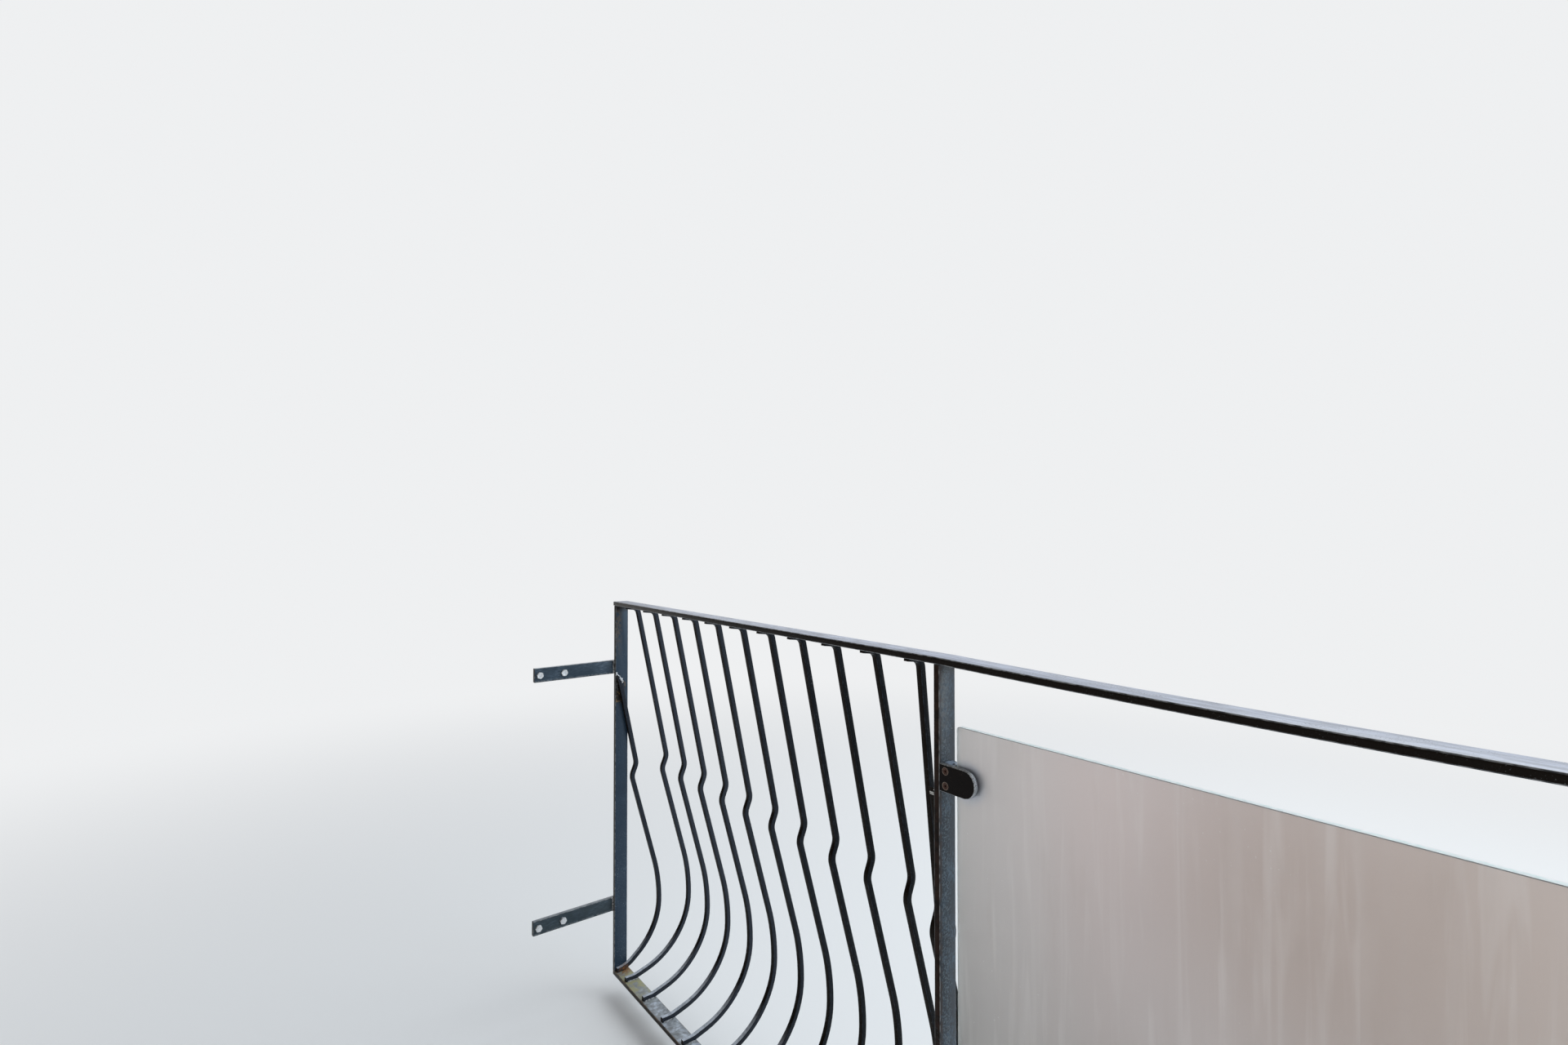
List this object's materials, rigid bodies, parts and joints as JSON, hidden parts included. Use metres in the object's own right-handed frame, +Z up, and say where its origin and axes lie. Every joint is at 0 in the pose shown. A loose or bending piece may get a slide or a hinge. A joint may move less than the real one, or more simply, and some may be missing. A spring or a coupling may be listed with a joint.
{
  "type": "juliet balcony",
  "caption": "Steel guard railing that fills an opening: a bay of bellied, kinked square bars beside a clamped frosted glass bay, with bolted flats on the side walls.",
  "frame": {"origin": "on the wall face of the upper bracket at the bar end, midway between its two bolts", "axes": "+X along the opening, out of the bracket's wall face at the bar end; the part runs to -X. +Z up. -Y points to the street and +Y into the room"},
  "size_m": [2.562, 0.461, 1.117],
  "materials": {
    "steel": "weathered black satin paint",
    "frosted_glass": "etched on one face, faint rain streaks",
    "clamp_black": "gloss black, worn silver at the rim",
    "rubber": "matte"
  },
  "bodies": {
    "root": {"top_rail": "steel", "bottom_rail": "steel", "bar_end_post": "steel", "middle_post": "steel", "glass_end_post": "steel", "bar_end_upper_bracket": "steel", "bar_end_lower_bracket": "steel", "glass_end_upper_bracket": "steel", "glass_end_lower_bracket": "steel", "bar_1": "steel", "bar_2": "steel", "bar_3": "steel", "bar_4": "steel", "bar_5": "steel", "bar_6": "steel", "bar_7": "steel", "bar_8": "steel", "bar_9": "steel", "bar_10": "steel", "bar_11": "steel", "end_bar": "steel", "middle_end_bar": "steel", "glass_panel": "frosted_glass", "middle_upper_clamp_body": "clamp_black", "middle_lower_clamp_body": "clamp_black", "glass_end_upper_clamp_body": "clamp_black", "glass_end_lower_clamp_body": "clamp_black", "middle_upper_clamp_cover": "clamp_black", "middle_lower_clamp_cover": "clamp_black", "glass_end_upper_clamp_cover": "clamp_black", "glass_end_lower_clamp_cover": "clamp_black", "middle_upper_clamp_gaskets": "rubber", "middle_lower_clamp_gaskets": "rubber", "glass_end_upper_clamp_gaskets": "rubber", "glass_end_lower_clamp_gaskets": "rubber"}
  },
  "joints": []
}
